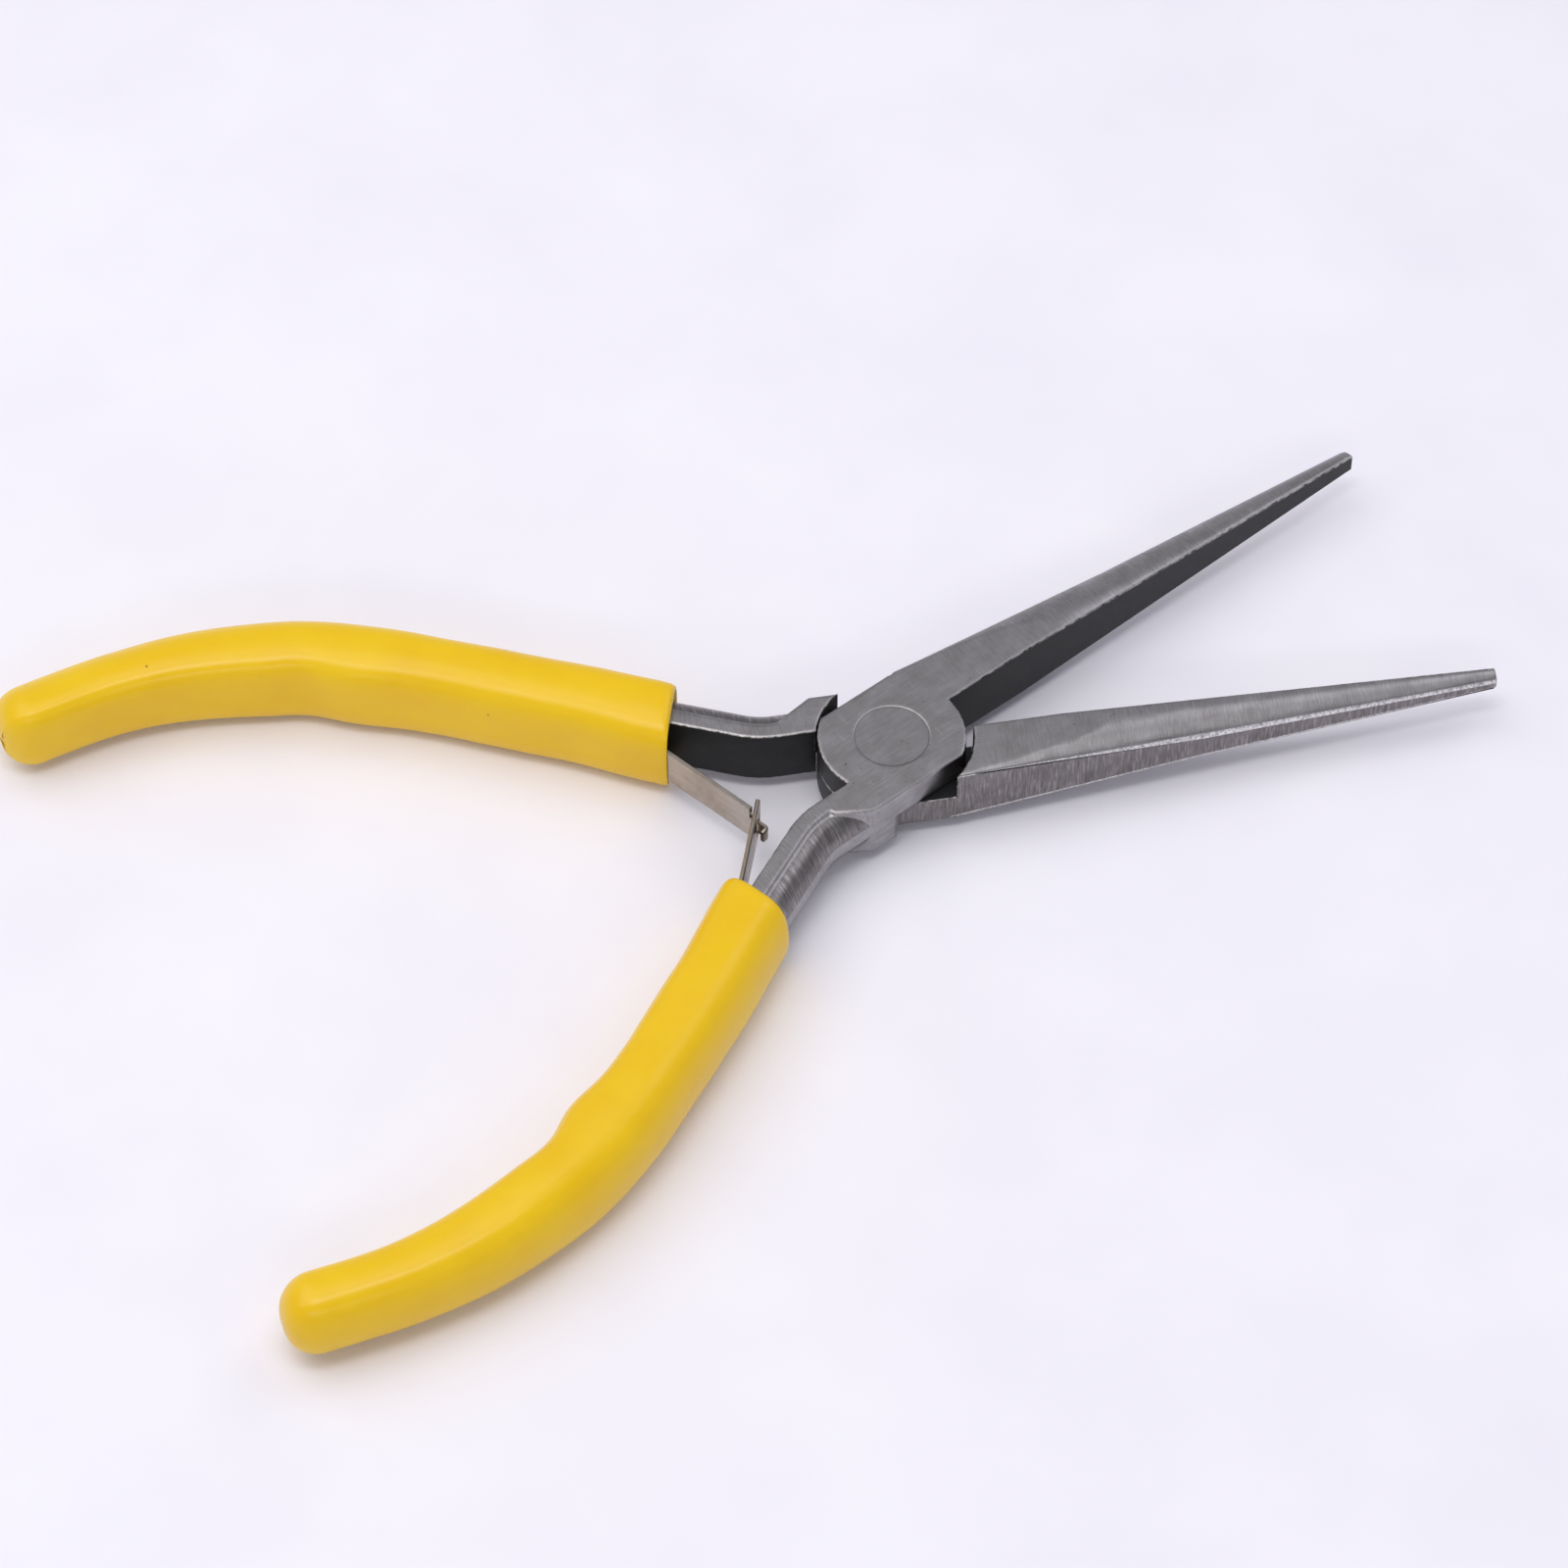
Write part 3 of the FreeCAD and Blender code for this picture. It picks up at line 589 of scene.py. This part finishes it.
def outer_skin(which, length):
    """Inner reach, outer reach, half height and squareness of the outer skin at a length."""
    past = length - MOUTH[which]
    # It slims towards the closed end.
    tail = ease(length, 42 * MM, 72 * MM)
    wide = SLEEVE_WIDE / 2 - 0.55 * MM * tail
    high = SLEEVE_THICK / 2 - 0.75 * MM * tail
    # The leaf pushes the mouth to the inner side, and the outer side is drawn in.
    inner = SLEEVE_SHIFT + wide + 0.75 * MM * (1 - ease(past, 0.5 * MM, 11 * MM))
    outer = -SLEEVE_SHIFT + wide - 0.5 * MM * (1 - ease(past, 0, 12 * MM))
    # A bulge with a hollow on each side of it, where the curl starts.
    inner += SWELL[which] * hump(length, 40.9 * MM, 3.2 * MM)
    inner -= 0.35 * MM * hump(length, 46.8 * MM, 3.0 * MM) + 0.2 * MM * hump(length, 31 * MM, 5 * MM)
    lean = DRIFT[which] * ease(length, 30 * MM, 78 * MM)
    near_mouth, mid_length = SQUARE[which]
    square = near_mouth + (mid_length - near_mouth) * ease(past, 2 * MM, 14 * MM) - 0.5 * tail
    return inner + lean, outer - lean, high, square


def ring_points(length, tilt, inner, outer, high, square):
    """A closed ring round the handle's line, squarer on its inner side."""
    points = []
    for index in range(RING):
        angle = 2 * math.pi * index / RING
        c, s = math.cos(angle), math.sin(angle)
        reach = inner if c > 0 else outer
        power = square + 0.3 if c > 0 else max(square - 0.5, 2.1)
        side = reach * math.copysign(abs(c) ** (2 / power), c)
        up = high * math.copysign(abs(s) ** (2 / power), s)
        point, _ = handle_point(length - side * math.tan(tilt), side)
        points.append(Vector((point.x, point.y, up)))
    return points


def inside_rings(which):
    """The bore, from the tang's end forward to the lip, with room for the leaf and its rivet."""
    front = MOUTH[which] + LIP_ROUND
    back = BAR_STRAIGHT + CURL_RADIUS * TANG_TURN + 1 * MM
    outer, high = TANG_WIDE / 2 + TANG_FIT, TANG_THICK / 2 + TANG_FIT
    tail_end = LEAF_ROOT + LEAF_TAIL
    rings = []
    for step in range(INSIDE_RINGS, 0, -1):
        length = front + (back - front) * (step / INSIDE_RINGS) ** 1.3
        room = PIN_ROOM + max(LEAF_ROOT - length, 0) * math.tan(LIFT[which]) + LEAF_ROOM
        room *= 1 - ease(length, tail_end, tail_end + 3 * MM)
        inner = min(outer + room, outer_skin(which, length)[0] - SKIN_LEAST)
        rings.append(ring_points(length, mouth_lean(which, length), inner, outer, high, 9.0))
    return rings


def lip_rings(which, inner_mouth):
    """The rolled lip, from the bore's first ring round to the outer skin."""
    mouth = MOUTH[which]
    outer_mouth = ring_points(mouth + LIP_ROUND, MOUTH_TILT[which], *outer_skin(which, mouth))
    heading = Vector((math.cos(SPLAY), math.sin(SPLAY), 0))
    rings = []
    for step in range(1, LIP_RINGS + 1):
        angle = math.pi * step / (LIP_RINGS + 1)
        share, forward = (1 - math.cos(angle)) / 2, LIP_ROUND * math.sin(angle)
        rings.append([a.lerp(b, share) + heading * forward for a, b in zip(inner_mouth, outer_mouth)])
    return rings


def outside_rings(which):
    """The outer skin from the lip to the rounded closed end."""
    front = MOUTH[which] + LIP_ROUND
    back = BAR_STRAIGHT + CURL_RADIUS * SLEEVE_TURN + SLEEVE_TAIL - SLEEVE_DOME
    rings = []
    for step in range(OUTSIDE_RINGS):
        length = front + (back - front) * step / (OUTSIDE_RINGS - 1)
        rings.append(ring_points(length, mouth_lean(which, length), *outer_skin(which, length)))
    inner, outer, high, square = outer_skin(which, back)
    middle = (inner - outer) / 2
    for step in range(1, DOME_RINGS + 1):
        angle = math.pi / 2 * step / (DOME_RINGS + 0.4)
        shrink = math.cos(angle) ** 0.8
        rings.append(ring_points(
            back + SLEEVE_DOME * math.sin(angle), 0, middle + (inner - middle) * shrink,
            (outer + middle) * shrink - middle, high * shrink, square - 0.6 * step / DOME_RINGS))
    return rings


def sleeve(which):
    """One closed skin: the bore, the lip and the outside, which is slightly uneven."""
    bore = inside_rings(which)
    rings = bore + lip_rings(which, bore[-1]) + outside_rings(which)
    work = bmesh.new()
    made = [[work.verts.new(point) for point in ring] for ring in rings]
    for first, second in zip(made, made[1:]):
        for index in range(RING):
            after = (index + 1) % RING
            work.faces.new((first[index], second[index], second[after], first[after]))
    for ring in (made[0], made[-1]):
        centre = work.verts.new(sum((vert.co for vert in ring), Vector()) / RING)
        for index in range(RING):
            work.faces.new((centre, ring[index], ring[(index + 1) % RING]))
    bmesh.ops.recalc_face_normals(work, faces=work.faces)
    for ring in made[INSIDE_RINGS + LIP_RINGS + 1:]:
        for vert in ring:
            broad = 0.08 * MM * noise.noise(vert.co / (7 * MM))
            fine = 0.02 * MM * noise.noise(vert.co / (2.2 * MM))
            vert.co += vert.normal * (broad + fine)
    return work


def plasticised_pvc():
    """Plasticised PVC from dipping: a saturated yellow, glossy but soft-edged in its highlights,
    with pinholes, dust and a faint orange peel."""
    material, tree, shader, place = new_material(
        "plasticised_pvc_yellow", IOR=1.53, Roughness=0.3, Specular_IOR_Level=0.38)
    cloud = streaks(tree, place, (9.0, 9.0, 9.0), 3.0)
    colour = ramp(tree, cloud, [(0.3, linear("#EABC02")), (0.7, linear("#EFC603"))])
    specks = add(tree, "ShaderNodeTexVoronoi", {"Vector": place, "Scale": 1 / (3.4 * MM)})
    speck = ramp(tree, specks.outputs["Distance"], [(0.035, 0.75), (0.06, 0.0)])
    chance = ramp(tree, streaks(tree, place, (4.0, 4.0, 4.0), 1.0), [(0.5, 0.0), (0.56, 1.0)])
    colour = mix(tree, mix(tree, 1.0, speck, chance, "MULTIPLY"), colour, linear("#8A6A14"))
    tree.links.new(colour, shader.inputs["Base Color"])
    peel = streaks(tree, place, (0.7, 0.7, 0.7), 2.0)
    tree.links.new(ramp(tree, cloud, [(0.3, 0.27), (0.7, 0.34)]), shader.inputs["Roughness"])
    bump = add(tree, "ShaderNodeBump", {"Height": peel, "Strength": 0.25, "Distance": 0.03 * MM})
    tree.links.new(bump.outputs[0], shader.inputs["Normal"])
    return material


PVC = plasticised_pvc()
for which in ("upper", "lower"):
    piece = new_piece(f"sleeve_{which}", sleeve(which), [PVC])
    piece.data.transform(half_frame(which))
    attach(piece, f"{which}_half")
    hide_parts(f"grip_{which}")

# ---------------------------------------------------------------- floor, light and camera
# A pale matt sheet under the sleeves' lowest points, a broad soft key from the upper left, narrow
# boxes overhead and in front for the glints along ridges, a weak one behind, and a long lens.

floor_size = 1.6           # metres, each way from the joint
floor_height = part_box("grip_upper")[0].z - 0.02 * MM
floor_work = bmesh.new()
bmesh.ops.create_grid(floor_work, x_segments=1, y_segments=1, size=floor_size)
bmesh.ops.translate(floor_work, verts=floor_work.verts, vec=(0, 0, floor_height))
sheet_material, sheet_tree, sheet_shader, sheet_place = new_material("matt_sheet", Roughness=0.85)
sheet_tone = ramp(sheet_tree, streaks(sheet_tree, sheet_place, (30.0, 30.0, 30.0)),
                  [(0.3, linear("#EFEDF6")), (0.7, linear("#F5F3FA"))])
sheet_tree.links.new(sheet_tone, sheet_shader.inputs["Base Color"])
floor = new_piece("floor_sheet", floor_work, [sheet_material])

AIM = Vector((-11.16, 1.21, 3.25)) * MM     # the spot in the middle of the view
AZIMUTH, ELEVATION = math.radians(-24.325), math.radians(52)
DISTANCE = 0.63107                          # from the lens to that spot, in metres


def towards(azimuth, elevation):
    """Unit vector from the pliers towards a place in the studio."""
    return Vector((math.sin(azimuth) * math.cos(elevation), -math.cos(azimuth) * math.cos(elevation),
                   math.sin(elevation)))


def softbox(name, azimuth, elevation, distance, size, watts, colour):
    """A soft light of a width and a height, aimed at the joint."""
    data = bpy.data.lights.new(name, "AREA")
    data.shape, data.energy = "RECTANGLE", watts
    data.size, data.size_y = size
    data.color = linear(colour)[:3]
    lamp = bpy.data.objects.new(name, data)
    back = towards(math.radians(azimuth), math.radians(elevation))
    lamp.location = AIM + back * distance
    lamp.rotation_mode = "QUATERNION"
    lamp.rotation_quaternion = back.to_track_quat("Z", "Y")
    bpy.context.scene.collection.objects.link(lamp)


softbox("key", -128, 66, 0.7, (0.75, 0.75), 2.65, "#FFFDFC")
softbox("overhead", -24, 79, 0.6, (0.34, 0.1), 0.6, "#FFFFFF")
softbox("front", -24, 34, 0.9, (0.6, 0.1), 0.7, "#FFFFFF")
softbox("right_rear", 105, 48, 0.9, (0.45, 0.45), 0.9, "#F6F8FF")

world = bpy.data.worlds.new("studio")
world.use_nodes = True
back = world.node_tree.nodes["Background"]
direction = add(world.node_tree, "ShaderNodeTexCoord").outputs["Generated"]
height = add(world.node_tree, "ShaderNodeSeparateXYZ", {0: direction}).outputs["Z"]
wall = ramp(world.node_tree, height, [(0.0, linear("#F6F6FC")), (0.55, linear("#E8E8F0")),
                                      (0.78, linear("#B0B0B8")), (0.97, linear("#E0E0E6"))])
world.node_tree.links.new(wall, back.inputs["Color"])
back.inputs["Strength"].default_value = 0.58
bpy.context.scene.world = world
bpy.context.scene.view_settings.view_transform = "Standard"

camera_data = bpy.data.cameras.new("camera")
camera_data.lens = 146.25
camera_data.sensor_width = 36.0
camera = bpy.data.objects.new("camera", camera_data)
camera.rotation_mode = "QUATERNION"
camera.location = AIM + towards(AZIMUTH, ELEVATION) * DISTANCE
camera.rotation_quaternion = towards(AZIMUTH, ELEVATION).to_track_quat("Z", "Y")
bpy.context.scene.collection.objects.link(camera)
bpy.context.scene.camera = camera
